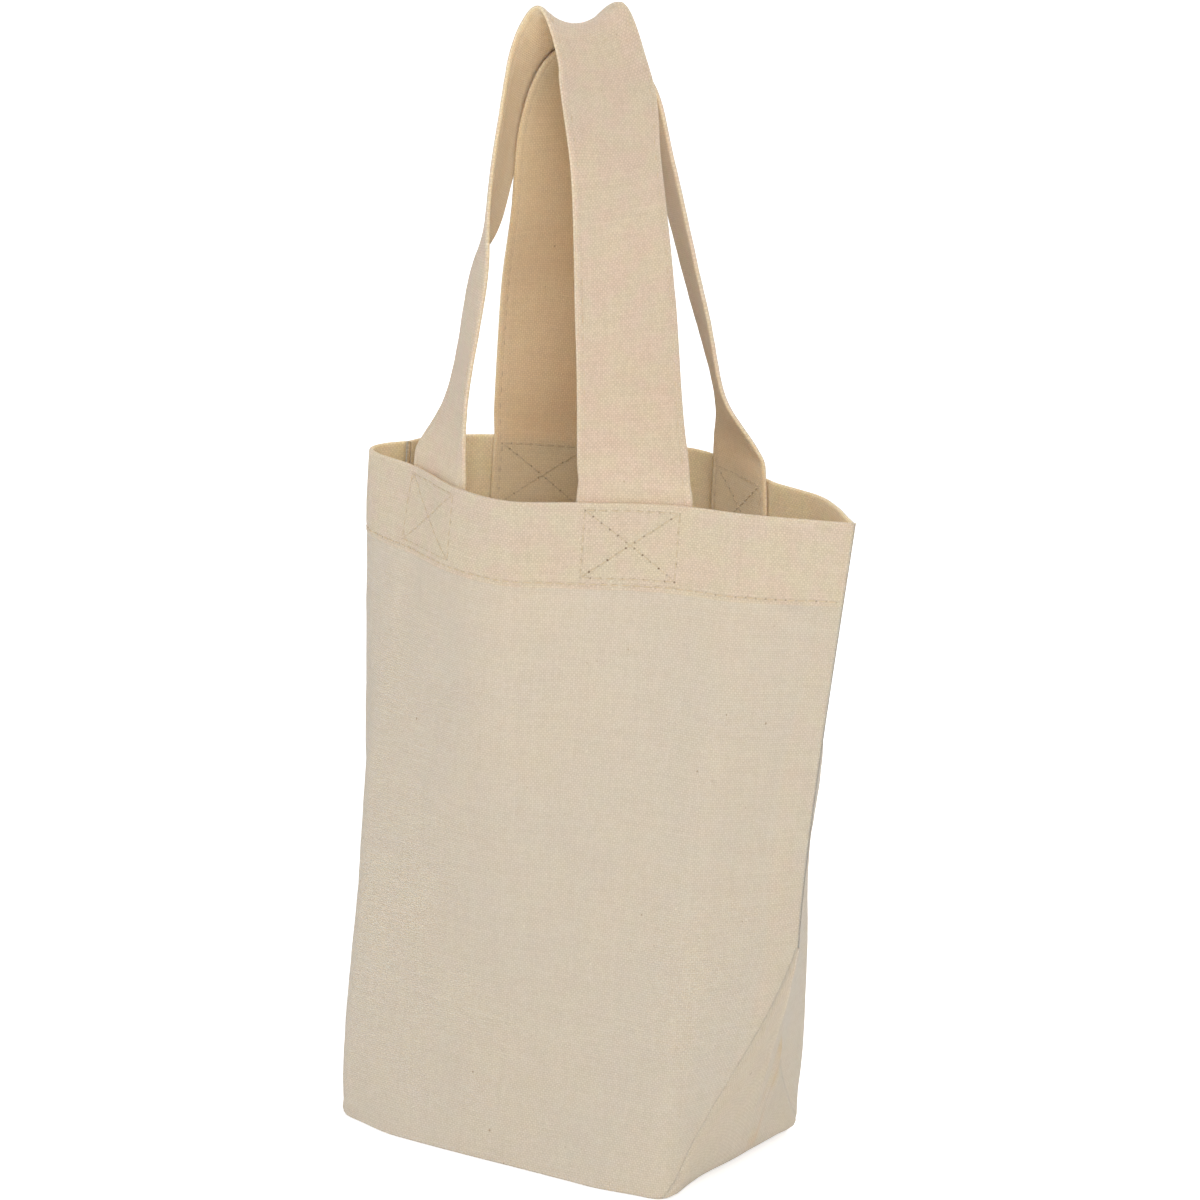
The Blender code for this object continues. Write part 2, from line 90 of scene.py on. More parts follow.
# the soft forms that only this scene draws, in metres
cloth_thickness = 0.0006
fold_depth = cloth_thickness + layer_gap / 2
strap_depth = 2 * (cloth_thickness + layer_gap) + strap_thickness / 2
ear_bend = 1.5
ear_foot_half = 0.0380
ear_tip_half = 0.0016
ear_lift = 0.00036
ear_edge_dip = 0.00016
foot_round = 0.0062
foot_round_starts = {"front": (0.62, 0.88), "back": (0.44, 0.60)}
foot_lift = 0.0008
foot_lift_height = 0.012
foot_bow = 0.0048
foot_bow_height = 0.070
foot_tuck = 0.0010
foot_tuck_height = 0.005
foot_roll = 0.0012
foot_turn_in = 0.0026
foot_bend = ((0.0024, 0.00035), (0.0012, 0.00035), (0.0004, 0.0006))
floor_level = 0.00035
floor_edge_gap = 0.0003
leg_cup = 0.0022
leg_cup_middle = 0.40
leg_cup_reach = 0.34
second_leg_cup_share = 0.45
back_end_shift = 0.0020
back_end_turn = 5

# sewing, in metres
stitch_pitch = 0.0032
stitch_length = 0.0027
hem_thread_radius = 0.00024
edge_thread_radius = 0.00020
box_thread_radius = 0.00017
overlock_radius = 0.00022
overlock_pitch = 0.0022
overlock_bite = 0.0036

# the sewn boxes and edge rows, in millimetres
mm = 0.001
box_half_width = 14.2
box_half_height = 10.4
box_middle = (body_height - 0.0018 - 0.0108) / mm
tail_middle = strap_tail / mm - (body_height / mm - box_middle)
edge_row = 14.8

# how finely the cloth is drawn
line_samples = 240
corner_arc_steps = 10
wall_columns = 201
gusset_columns = 81
floor_steps = 60
handle_rows = 300
strap_columns = 29
thread_sides = 6
stitch_stations = 6

sides = {"front": -1, "back": 1}
relief_seeds = {"front": 11, "back": 23}
panel_shares = np.linspace(-1, 1, wall_columns)
gusset_places = np.linspace(-1, 1, gusset_columns)
strap_places = np.linspace(-1, 1, strap_columns)
strap_middle = strap_columns // 2
ring_store = {}


# ---- shape


def ramp(value, low, high):
    """0 below low, 1 above high and a smooth step between them."""
    t = np.clip((value - low) / (high - low), 0, 1)
    return t * t * (3 - 2 * t)


def unit(vectors):
    return vectors / np.linalg.norm(vectors, axis=-1, keepdims=True)


def distance_along(line):
    steps = np.linalg.norm(np.diff(line, axis=0), axis=1)
    return np.concatenate([[0], np.cumsum(steps)])


def grid_normals(grid):
    return unit(np.cross(np.gradient(grid, axis=0), np.gradient(grid, axis=1)))


def smooth_line(stations, samples):
    points = np.asarray(stations, float)
    first = 2 * points[0] - points[1]
    last = 2 * points[-1] - points[-2]
    padded = np.vstack([first, points, last])
    place = np.arange(samples + 1) / samples * (len(points) - 1)
    cell = np.minimum(place.astype(int), len(points) - 2)
    f = (place - cell)[:, None]
    a, b, c, d = (padded[cell + step] for step in range(4))
    cubic = 2 * b + (c - a) * f + (2 * a - 5 * b + 4 * c - d) * f**2
    return 0.5 * (cubic + (3 * b - a - 3 * c + d) * f**3)


def even_line(line, samples):
    run = distance_along(line)
    wanted = np.linspace(0, run[-1], samples + 1)
    return np.stack([np.interp(wanted, run, line[:, axis]) for axis in (0, 1)], axis=1)


def base_line(side):
    half_length = base_length / 2
    centre_y = -base_depth / 2 + base_corner_radius
    points = [(-half_length, 0)]
    for end, start in ((-1, math.pi), (1, 1.5 * math.pi)):
        centre_x = end * (half_length - base_corner_radius)
        for turn in np.linspace(start, start + math.pi / 2, corner_arc_steps):
            x = centre_x + base_corner_radius * math.cos(turn)
            y = centre_y + base_corner_radius * math.sin(turn)
            points.append((x, y))
    points.append((half_length, 0))
    line = np.array(points)
    line[:, 1] *= -sides[side]
    return even_line(line, line_samples)


def rim_line(side):
    stations = np.transpose(rim_tables[side]) * panel_width
    return even_line(smooth_line(stations, line_samples), line_samples)


base_lines = {side: base_line(side) for side in sides}
rim_lines = {side: rim_line(side) for side in sides}


def girth(lines):
    return sum(distance_along(line)[-1] for line in lines.values())


def rim_shares(height):
    """How far each place of a wall has gone from the base's line to the rim's; the seams lead."""
    share = height / body_height
    tip_share = ear_height / body_height
    if share < tip_share:
        lead = seam_lead_share * share / tip_share
    else:
        rest = ((share - tip_share) / (1 - tip_share)) ** seam_lead_bend
        lead = seam_lead_share + (1 - seam_lead_share) * rest
    place = np.abs(np.linspace(-1, 1, line_samples + 1))
    near = ramp(place, seam_lead_start_share, 1)
    return (share + (lead - share) * near)[:, None]


def ring(height):
    """The front's and back's level lines at a height."""
    height = min(max(height, 0), body_height)
    key = round(height, 7)
    if key not in ring_store:
        share = rim_shares(height)
        lines = {s: base_lines[s] + share * (rim_lines[s] - base_lines[s]) for s in sides}
        centre = sum(line.mean(axis=0) for line in lines.values()) / 2
        level = height / body_height
        wanted = (1 - level) * girth(base_lines) + level * girth(rim_lines)
        waist = 1 - 4 * waist_pinch_share * level * (1 - level)
        growth = wanted * waist / girth(lines)
        shift = np.array([stand_across, stand_depth])
        ring_store[key] = {s: centre + (line - centre) * growth + shift for s, line in lines.items()}
    return ring_store[key]


def along(line, shares):
    place = (np.clip(shares, -1, 1) + 1) / 2 * (len(line) - 1)
    index = np.arange(len(line))
    return np.stack([np.interp(place, index, line[:, axis]) for axis in (0, 1)], axis=-1)


def wall(side, shares, heights, depths):
    """Points of a wall from the share along the panel, the height, and the depth into the bag."""
    given = (np.asarray(values, float) for values in (shares, heights, depths))
    shares, heights, depths = np.broadcast_arrays(*given)
    share, height, depth = (values.ravel() for values in (shares, heights, depths))
    flat = np.empty((share.size, 3))
    reach = 1.5 / line_samples
    levels = np.clip(height, 0, body_height)
    for level in np.unique(levels):
        here = levels == level
        line = ring(level)[side]
        run = unit(along(line, share[here] + reach) - along(line, share[here] - reach))
        into = np.stack([-run[:, 1], run[:, 0]], axis=1) * -sides[side]
        bow = front_bow(share[here], level) if side == "front" else 0
        flat[here, :2] = along(line, share[here]) + into * (depth[here] - bow)[:, None]
    near_foot = np.clip(1 - height / foot_round, 0, 1)
    tuck = foot_round * (1 - np.sqrt(1 - near_foot**2 * 0.999))
    tuck = tuck * ramp(np.abs(share), *foot_round_starts[side])
    flat[:, 0] -= np.sign(share) * tuck
    if side == "back":
        flat[:, 1] -= 0.35 * tuck * (1 - ramp(np.abs(share), 0.7, 1.0))
    flat[:, 2] = height + end_lift(share) * np.clip(1 - height / foot_lift_height, 0, 1) ** 2
    return flat.reshape(*shares.shape, 3)


def front_bow(share, height=0):
    """How far the front's foot swells past a straight line, in metres; most towards the left."""
    rise = ramp(share, -0.63, -0.36) * (1 - ramp(share, 0.36, 0.60))
    low = max(0, 1 - height / foot_bow_height) ** 2
    return foot_bow * rise * (1 - 0.35 * ramp(share, -0.30, 0.40)) * low


def end_lift(share):
    """How far the bag's ends stand off the ground between the corners, in metres."""
    return foot_lift * ramp(np.abs(share), 0.61, 0.74)


def waves(u, v, length_u, length_v, seed, count=26):
    """Smooth uneven relief of about unit height, from sine waves of many directions."""
    rng = np.random.default_rng(seed)
    total = 0
    for _ in range(count):
        angle = rng.uniform(0, 2 * math.pi)
        size = rng.uniform(0.6, 1.6)
        ku = math.cos(angle) * 2 * math.pi / length_u * size
        kv = math.sin(angle) * 2 * math.pi / length_v * size
        total = total + np.sin(ku * u + kv * v + rng.uniform(0, 2 * math.pi))
    return total / math.sqrt(count / 2)


def crease(u, v, start, finish, depth, width):
    """A narrow valley along a segment, in the cloth's own millimetres."""
    a, b = np.array(start, float), np.array(finish, float)
    run = b - a
    t = ((u - a[0]) * run[0] + (v - a[1]) * run[1]) / (run @ run)
    near = np.clip(t, 0, 1)
    far = np.hypot(u - a[0] - near * run[0], v - a[1] - near * run[1])
    ends = ramp(t, -0.15, 0.2) * (1 - ramp(t, 0.8, 1.15))
    return -depth * np.exp(-((far / width) ** 2)) * ends


# each crease: its start and finish as millimetres along and up, its depth and its width
side_creases = {
    "front": (
        ((79, 187.0), (96, 182.7), 0.75, 1.3),
        ((82, 183.2), (94, 180.5), -0.40, 1.3),
        ((-58, 213.0), (-52, 205.0), 0.50, 1.6),
        ((-46, 212.0), (-40, 203.0), 0.45, 1.8),
        ((-96, 181.0), (-86, 176.0), 0.30, 1.4),
        ((-98, 120.0), (-90, 112.0), 0.35, 2.2),
        ((88, 68.4), (97, 68.2), 0.45, 1.2),
    ),
    "back": (
        ((78, 180.0), (90, 172.0), 0.35, 1.6),
        ((-92, 178.0), (-80, 170.0), 0.35, 1.6),
        ((-66, 60.0), (-50, 26.0), 0.40, 2.4),
        ((20, 120.0), (34, 84.0), 0.25, 3.0),
    ),
}


def relief(side, share, height):
    """How far the soft cloth stands out of its plain shape, in metres."""
    u = share * 100
    v = height / mm
    seed = relief_seeds[side]
    from_seam = 100 - np.abs(u)
    hem_foot = (body_height - hem_height) / mm
    stitch = (body_height - stitch_drop) / mm
    below = 1 - ramp(v, hem_foot - 14, hem_foot + 2)
    # broad sag, folds and small unevenness, with a dent where the right seam meets the hem
    soft = 0.55 * waves(u, v, 62, 210, seed) * below
    soft = soft + 0.16 * waves(u, v, 26, 60, seed + 1) * (0.35 + 0.65 * below)
    soft = soft + 0.035 * waves(u, v, 9, 13, seed + 2)
    soft = soft - 0.9 * np.exp(-(((95 - u) / 7) ** 2) - ((v - 186) / 5.0) ** 2)
    if side == "back":
        # the back wall is drawn in beside both seams
        soft = soft - 2.6 * np.exp(-(((from_seam - 27) / 15) ** 2) - ((v - 88) / 26) ** 2)
    soft = soft + 0.13 * np.exp(-np.abs(v - stitch) / 4.5) * waves(u, v * 0.2, 8.5, 30, seed + 3)
    for line in side_creases[side]:
        soft = soft + crease(u, v, *line)
    # the hem's step, and the groove that its row of stitches pulls
    pulled = 0.8 + 0.2 * np.cos(2 * math.pi * u / (stitch_pitch / mm))
    hem = 0.30 * ramp(v, hem_foot - 0.7, hem_foot + 0.4)
    hem = hem - 0.20 * np.exp(-(((v - stitch) / 0.8) ** 2)) * pulled
    free = ramp(from_seam, 0, 9) * ramp(v, 0, 14)
    return (soft * free + hem * ramp(from_seam, 0, 2.5)) * mm


# ---- meshes


def signed_volume(points, faces):
    total = 0
    for face in faces:
        for second, third in zip(face[1:], face[2:]):
            total += np.dot(points[face[0]], np.cross(points[second], points[third]))
    return total


def add_mesh(name, points, faces, materials, cloth, slots=None):
    """A closed mesh, its faces turned outward, with its cloth coordinates as an attribute."""
    if signed_volume(points, faces) < 0:
        faces = [face[::-1] for face in faces]
    mesh = bpy.data.meshes.new(name)
    mesh.from_pydata(points.tolist(), [], [list(map(int, face)) for face in faces])
    for material in materials:
        mesh.materials.append(material)
    attribute = mesh.attributes.new("cloth", "FLOAT_VECTOR", "POINT")
    attribute.data.foreach_set("vector", np.asarray(cloth, np.float32).ravel())
    mesh.polygons.foreach_set("use_smooth", [True] * len(mesh.polygons))
    if slots is not None:
        mesh.polygons.foreach_set("material_index", np.asarray(slots, np.int32))
    mesh.update()
    item = bpy.data.objects.new(name, mesh)
    bpy.context.scene.collection.objects.link(item)
    return item


def grid_faces(rows, columns, start=0, turned=False, closed=False):
    faces = []
    for row in range(rows - 1):
        for column in range(columns if closed else columns - 1):
            after = (column + 1) % columns
            a = start + row * columns + column
            b = start + row * columns + after
            quad = (a, b, b + columns, a + columns)
            faces.append(quad[::-1] if turned else quad)
    return faces


def shell(name, skin_a, skin_b, cloth, materials, slots=(0, 0, 0)):
    """A closed sheet between two skins of the same rows and columns."""
    rows, columns = skin_a.shape[:2]
    points = np.concatenate([skin_a.reshape(-1, 3), skin_b.reshape(-1, 3)])
    offset = rows * columns
    faces = grid_faces(rows, columns)
    back = grid_faces(rows, columns, offset, turned=True)
    kinds = [slots[0]] * len(faces) + [slots[1]] * len(back)
    faces = faces + back
    number = np.arange(offset).reshape(rows, columns)
    edge = [*number[0], *number[1:, -1], *number[-1, -2::-1], *number[-2:0:-1, 0]]
    for a, b in zip(edge, edge[1:] + edge[:1]):
        faces.append((b, a, offset + a, offset + b))
        kinds.append(slots[2])
    return add_mesh(name, points, faces, materials, np.stack([cloth, cloth]), kinds)


def panel_path(inset):
    """Depths and heights of a panel's face, from the foot over the rim and down inside the hem.

    The inset is 0 for the outer face and the cloth's thickness for the inner one.
    """
    hem_foot = body_height - hem_height
    fold_height = body_height - fold_depth
    roll, fold = foot_roll - inset, fold_depth - inset
    places = [(foot_turn_in, inset)]
    for turn in np.linspace(0, math.pi / 2, 5):
        places.append((foot_roll - roll * math.sin(turn), foot_roll - roll * math.cos(turn)))
    heights = list(np.arange(foot_roll + 1.2 * mm, hem_foot - 2.4 * mm, 1.75 * mm))
    heights += list(np.arange(hem_foot - 2.2 * mm, hem_foot + 4.0 * mm, 0.4 * mm))
    heights += list(np.arange(hem_foot + 4.6 * mm, fold_height - 0.4 * mm, 1.25 * mm))
    places += [(inset, height) for height in heights]
    for turn in np.linspace(0, math.pi, 9):
        places.append((fold_depth - fold * math.cos(turn), fold_height + fold * math.sin(turn)))
    for height in np.linspace(fold_height - 1.5 * mm, hem_foot, 18):
        places.append((2 * fold_depth - inset, height))
    return np.array(places)


def cloth_height(height):
    """Distance along a panel's outer face from its foot up to a height, in millimetres."""
    path = panel_path(0)
    rising = np.argmax(path[:, 1]) + 1
    return float(np.interp(height, path[:rising, 1], distance_along(path)[:rising] / mm))


def layer_mask(side, share, height, inside_hem):
    """1 where two or more layers of cloth lie together, 0 where there is one."""
    under_hem = (body_height - hem_height - height) / mm
    hem = ramp(-under_hem, -0.35, 0.15)
    from_seam = 100 * (1 - np.abs(share))
    reach = 7.5 + 5.8 * ramp(under_hem, 0, 60) if side == "front" else 6.0
    band = 1 - ramp(from_seam, reach - 2.0, reach + 1.0)
    ear = (ear_foot_half / mm - 0.5) * (1 - np.clip(height / ear_height, 0, 1)) ** ear_bend
    band = np.maximum(band, 1 - ramp(from_seam - ear, 0, 6.0))
    return np.maximum(np.maximum(hem, 0.35 * band), inside_hem)


def panel_skin(side, path, trim):
    """One face of a panel; trim narrows it, so that the sheet can close at its sides."""
    shares, heights = np.meshgrid(panel_shares, path[:, 1])
    depths = np.broadcast_to(path[:, :1], shares.shape)
    shares = shares * (1 - (trim + np.maximum(depths - fold_depth, 0)) * 2 / panel_width)
    out = relief(side, shares, np.minimum(heights, body_height))
    skin = wall(side, shares, heights, depths - out)
    near_foot = np.clip(1 - heights / foot_tuck_height, 0, 1)
    skin[:, :, 2] += foot_tuck * ramp(np.abs(shares), 0.65, 0.70) * near_foot
    return skin


def make_panel(side, outer, inner):
    """The front or back cloth with its hem; past the rim, its outer face looks into the bag."""
    path = panel_path(0)
    skins = [panel_skin(side, path, 0), panel_skin(side, panel_path(cloth_thickness), cloth_thickness)]
    top = np.argmax(path[:, 1])
    inside_hem = np.arange(len(path)) >= top
    shares, heights = np.meshgrid(panel_shares, path[:, 1])
    run = np.broadcast_to(distance_along(path)[:, None] / mm, shares.shape)
    mask = layer_mask(side, shares, heights, inside_hem[:, None])
    cloth = np.stack([shares * 100, run, mask], axis=2)
    item = shell(f"{side}_cloth", *skins, cloth, [outer, inner], (0, 1, 0))
    kinds = np.zeros(len(item.data.polygons), np.int32)
    item.data.polygons.foreach_get("material_index", kinds)
    rows = np.arange((len(path) - 1) * (wall_columns - 1)) // (wall_columns - 1)
    kinds[: len(rows)] = rows >= top
    item.data.polygons.foreach_set("material_index", kinds)
    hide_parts(f"{side}_panel")
    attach(item, "bag")
    return item


def outward(end, height):
    """The level direction in which a side seam looks at a height."""
    lines = ring(height)
    corner = lines["front"][-1 if end > 0 else 0]
    centre = (lines["front"].mean(axis=0) + lines["back"].mean(axis=0)) / 2
    runs = []
    for side in sides:
        line = lines[side] if end > 0 else lines[side][::-1]
        runs.append(unit(line[-9] - line[-1]))
    across = unit(runs[1] - runs[0])
    away = np.array([across[1], -across[0]])
    return away if away @ (corner - centre) > 0 else -away


def ear_row(end, height, half, lift):
    """A row of the gusset, lifted off both walls, that runs around a side seam."""
    row = np.empty((gusset_columns, 3))
    lift = np.broadcast_to(lift, gusset_places.shape)
    for side, here in (("front", gusset_places < 0), ("back", gusset_places >= 0)):
        share = end * (1 - 2 * np.abs(gusset_places[here]) * half / panel_width)
        row[here] = wall(side, share, height, -lift[here] - relief(side, share, height))
    return row


ear_creases = (
    ((13, 42), (6, 20), -0.70, 1.5),
    ((6, 20), (4, 7), -0.60, 1.4),
    ((9, 41), (2, 20), 0.45, 1.4),
    ((16, 31), (10, 12), -0.45, 1.5),
    ((-9, 64), (6, 65), 0.40, 1.1),
    ((-26, 18), (-12, 30), 0.30, 2.4),
)


# the lines along the right ear's creases where shade is painted
ear_shade_lines = (((13, 42), (6, 20)), ((6, 20), (4, 5)))


def ear_rows(end):
    """A corner ear, from its foot to its tip."""
    rows = []
    heights = np.concatenate([np.linspace(0.0012, 0.006, 4), np.linspace(0.008, ear_height, 40)])
    for height in heights:
        left = 1 - height / ear_height
        half = ear_tip_half + (ear_foot_half - ear_tip_half) * left**ear_bend
        from_edge = (1 - np.abs(gusset_places)) * half / mm
        edge = ramp(from_edge, 0, 3.2)
        row = ear_row(end, height, half, ear_lift * edge - ear_edge_dip * (1 - edge))
        u, v = gusset_places * half / mm, height / mm
        bump = 0.5 + 0.35 * waves(u, v, 30, 46, 41 + end)
        bump = bump * ramp(from_edge, 0.3, 7) * ramp(left, 0, 0.2)
        for line in ear_creases:
            bump = bump + crease(u, v, *line)
        bump = np.maximum(bump * ramp(v, 0, 5), 0)
        row[:, :2] += np.outer(bump * mm, outward(end, height))
        rows.append(row)
    return rows


def roll_rows(end):
    """The bend between the base and an ear, from the base outward."""
    rows = []
    share = 1 - np.abs(gusset_places) * ear_foot_half * 2 / panel_width
    for inset, level in foot_bend:
        row = ear_row(end, 0, ear_foot_half, 0.4 * ear_lift - inset)
        row[:, 2] = level + end_lift(share) * (1 - inset / 0.0045)
        rows.append(row)
    return rows


def floor_rows(left, right):
    """The flat base between two places across, without its first and last row."""
    front, back = (ring(0)[side] for side in sides)
    rows = []
    for step in range(1, floor_steps):
        x = (left + right) / 2 - (right - left) / 2 * math.cos(math.pi * step / floor_steps)
        share = (x - stand_across) / (base_length / 2) * 0.61
        inset = foot_turn_in - floor_edge_gap
        y_front = np.interp(x, front[:, 0], front[:, 1]) + inset - front_bow(share)
        y_back = np.interp(x, back[:, 0], back[:, 1]) - inset
        row = np.full((gusset_columns, 3), (x, 0, floor_level))
        row[:, 1] = np.linspace(y_front, y_back, gusset_columns)
        rows.append(row)
    return rows


def make_gusset(material):
    """The base and the two corner ears, as one folded sheet."""
    left = (roll_rows(-1) + ear_rows(-1))[::-1]
    right = roll_rows(1) + ear_rows(1)
    grid = np.array(left + floor_rows(left[-1][:, 0].max(), right[0][:, 0].min()) + right)
    v = np.cumsum(np.linalg.norm(np.gradient(grid, axis=0), axis=2), axis=0) / mm
    width = np.linalg.norm(np.gradient(grid, axis=1), axis=2)
    u = (np.cumsum(width, axis=1) - width.sum(axis=1)[:, None] / 2) / mm
    flat = np.zeros((len(grid), 1), bool)
    flat[len(left) : -len(right)] = True
    height = grid[:, :, 2] / mm
    # painted shade: the right ear is darkened and warmed along its creases, and the ears and bends at
    # the base's ends are tinted 15% towards the ear's shade colour
    crease_shade = np.maximum(*(-crease(u, height, *line, 1, 3.0) for line in ear_shade_lines))
    crease_shade = crease_shade * (0.5 + 0.5 * waves(u, height, 9, 14, 77)) * (grid[:, :, 0] > 0)
    mask = np.where(flat, 0, 0.15 + 0.7 * np.clip(crease_shade, 0, 1))
    from_edge = (1 - np.abs(gusset_places)) * np.abs(u).max(axis=1)[:, None]
    thin = np.where(flat, 1.0, 0.16 + 0.84 * np.clip(from_edge / 1.8, 0, 1) ** 0.6)
    half = grid_normals(grid) * (cloth_thickness / 2) * thin[:, :, None]
    cloth = np.stack([u, v, mask], axis=2)
    item = shell("bottom_gusset_cloth", grid + half, grid - half, cloth, [material])
    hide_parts("bottom_gusset")
    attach(item, "bag")
    return item


# ---- straps


def wall_point(side, share, height, depth):
    point = wall(side, [share], [min(height, body_height)], [depth])[0]
    return np.array([point[0], point[1], height])


def root_station(side, share):
    """Where a strap leaves the bag: its middle, and the turn of its width in degrees."""
    height = body_height + hinge_height + layer_gap / 2
    half = strap_width / panel_width
    places = (share, share - half, share + half)
    centre, left, right = (wall_point(side, place, height, strap_depth) for place in places)
    turn = math.atan2(right[1] - left[1], right[0] - left[0])
    return (left + right) / 4 + centre / 2, math.degrees(turn)


def handle_line(side):
    """A handle's middle line, with its turn in degrees and its bank."""
    floor = body_height + hinge_height + layer_gap / 2
    roots = (root_station(side, root) for root in root_shares[side])
    (first, first_turn), (last, end_turn) = roots
    stations = [(*first, first_turn, 0)]
    for across, depth, lift, turn, bank in zip(*handle_tables[side]):
        x = across * panel_width + stand_across
        y = depth * panel_width + stand_depth
        stations.append((x, y, floor + lift * handle_rises[side], turn, bank))
    if side == "back":
        x, y, z, turn, bank = stations[-1]
        stations[-1] = (x - back_end_shift, y, z, turn - back_end_turn, bank)
    stations.append((*last, end_turn + 180 * sides[side], 0))
    return smooth_line(stations, handle_rows)


def handle_grid(side):
    """The free part of a strap: rows along it, from its first root to its last."""
    line = handle_line(side)
    centre = line[:, :3]
    above = centre[:, 2] - centre[0, 2]
    turn = np.radians(line[:, 3])
    upright = np.zeros_like(centre)
    upright[:, 2] = np.where(np.arange(len(centre)) * 2 < len(centre), 1, -1)
    ease = np.clip(above / leg_ease_height, 0, 1)[:, None]
    tangent = unit(ease * unit(np.gradient(centre, axis=0)) + (1 - ease) * upright)
    width = np.stack([np.cos(turn), np.sin(turn), np.zeros(len(turn))], axis=1)
    width = unit(width - tangent * (width * tangent).sum(axis=1)[:, None])
    width[:, 2] += line[:, 4]
    width = unit(width)
    bowl = saddle_dips[side] * np.clip(above / handle_rises[side], 0, 1) ** saddle_sharpness
    grid = []
    for place in strap_places:
        sunk = np.outer(bowl * (1 - place**2), (0, 0, 1))
        grid.append(centre + width * place * strap_width / 2 - sunk)
    return np.stack(grid, axis=1)


def tail_grid(side, root, down):
    """The sewn end of a strap, following the wall inside the hem, from its foot up to the rim."""
    heights = np.linspace(body_height - strap_tail, body_height + hinge_height, 26)[:-1]
    shares = root + strap_places * strap_width / panel_width
    share, height = np.meshgrid(shares, heights)
    level = np.minimum(height, body_height)
    out = relief(side, share, level) * (height < body_height)
    grid = wall(side, share, level, strap_depth - out)
    grid[:, :, 2] = height
    return grid if not down else grid[::-1, ::-1]


def inner_face(side, normal):
    """Which face of the strap's middle sheet looks into the bag at its first end, 1 or -1."""
    return 1 if normal[3, strap_middle, 1] * -sides[side] > 0 else -1


def strap_surface(side):
    """A strap's middle sheet: points, normals, and the distance along it in millimetres."""
    first, last = root_shares[side]
    parts = [tail_grid(side, first, False), handle_grid(side), tail_grid(side, last, True)]
    grid = np.concatenate(parts)
    smooth = grid.copy()
    for _ in range(6):
        smooth[1:-1] = (smooth[:-2] + 2 * smooth[1:-1] + smooth[2:]) / 4
    near_hinge = np.abs(smooth[:, :, 2] - (body_height + hinge_height)) < 0.012
    grid = np.where(near_hinge[:, :, None], smooth, grid)
    rise = (grid[:, strap_middle, 2] - body_height - hinge_height) / handle_rises["front"]
    first_leg = np.arange(len(grid)) < np.argmax(rise)
    cup = leg_cup * ramp(leg_cup_reach - np.abs(rise - leg_cup_middle), 0, leg_cup_reach)
    cup = cup * np.where(first_leg, 1.0, second_leg_cup_share)
    bend = cup[:, None] * (0.62 - strap_places**2)
    normal = grid_normals(grid)
    grid = grid - inner_face(side, normal) * normal * bend[:, :, None]
    return grid, grid_normals(grid), distance_along(grid[:, strap_middle]) / mm


def surface_at(surface, run_mm, across_mm, lift):
    """Points on a strap by distance along and across it, and height above its middle sheet."""
    grid, normal, run = surface
    row = np.interp(run_mm, run, np.arange(len(run)))
    column = np.interp(across_mm / (strap_width / 2 / mm), strap_places, np.arange(strap_columns))
    r = np.clip(row.astype(int), 0, len(run) - 2)
    c = np.clip(column.astype(int), 0, strap_columns - 2)
    row_part, column_part = (row - r)[:, None], (column - c)[:, None]

    def mix(values):
        low = values[r, c] * (1 - column_part) + values[r, c + 1] * column_part
        high = values[r + 1, c] * (1 - column_part) + values[r + 1, c + 1] * column_part
        return low * (1 - row_part) + high * row_part

    return mix(grid) + mix(normal) * np.asarray(lift)[:, None]


def strap_section():
    """Places across a strap and its half thickness there: folded edges, grooves and a flat middle."""
    places = [-16.95, -16.6, -15.9, -15.2, -14.8, -14.4, -13.6, -12.6, -11.8, -9, -6, -3, 0]
    thick = [0.30, 0.55, 0.74, 0.68, 0.60, 0.68, 0.72, 0.68, 0.57, 0.56, 0.58, 0.58, 0.58]
    places += [-place for place in places[-2::-1]]
    return np.array(places), np.array(thick + thick[-2::-1]) * mm


# the part of a strap, as shares of its length, whose inner face the light reaches as outside
pale_runs = {"front": (2.0, 3.0), "back": (0.55, 0.88)}


def make_strap(side, surface, material):
    """A whole strap as one closed band; a face's last cloth value is 1 on the outside of the bag."""
    grid, normal, run = surface
    places, thick = strap_section()
    around = np.concatenate([places, places[::-1]])
    # painted light: the outside faces take the strap's outside colour, the inner faces a brighter,
    # warmer painted-light copy of it, and the pale runs mostly the outside colour
    outside_up = inner_face(side, normal) < 0
    outside = np.repeat([outside_up, not outside_up], len(places))
    seed = 5 if side == "front" else 9
    pale_from, pale_to = pale_runs[side]
    points = []
    cloth = []
    for distance in run:
        soft = 0.10 * waves(places, distance, 30, 38, seed)
        soft = soft + 0.04 * waves(places, distance, 8, 9, seed + 1)
        beside_row = np.exp(-np.abs(np.abs(places) - edge_row) / 1.6)
        ripple = 0.05 * beside_row * np.sin(math.pi * distance / (stitch_pitch / mm))
        out = (soft + ripple) * mm * 0.5
        lift = np.concatenate([out + thick, (out - thick)[::-1]])
        here = np.full(len(around), distance)
        points.append(surface_at(surface, here, around, lift))
        share = distance / run[-1]
        pale = ramp(share, pale_from, pale_from + 0.08) * (1 - ramp(share, pale_to - 0.10, pale_to))
        cloth.append(np.stack([around, here, np.maximum(outside, 0.8 * pale)], axis=1))
    rows, columns = len(points), len(around)
    faces = grid_faces(rows, columns, closed=True)
    for row in (0, rows - 1):
        base = row * columns
        for a in range(columns // 2 - 1):
            quad = (base + a, base + a + 1, base + columns - 2 - a, base + columns - 1 - a)
            faces.append(quad[::-1] if row == 0 else quad)
    item = add_mesh(f"{side}_strap", np.concatenate(points), faces, [material], np.concatenate(cloth))
    names = [f"{side}_handle", f"{side}_left_strap_end", f"{side}_right_strap_end"]
    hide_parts(*names)
    return item


# ---- stitches


def thread_faces(rows, start=0):
    """The faces of a thread with closed ends, over rows of points."""
    faces = grid_faces(rows, thread_sides, start, closed=True)
    last = start + (rows - 1) * thread_sides
    faces.append(tuple(start + turn for turn in reversed(range(thread_sides))))
    faces.append(tuple(last + turn for turn in range(thread_sides)))
    return faces


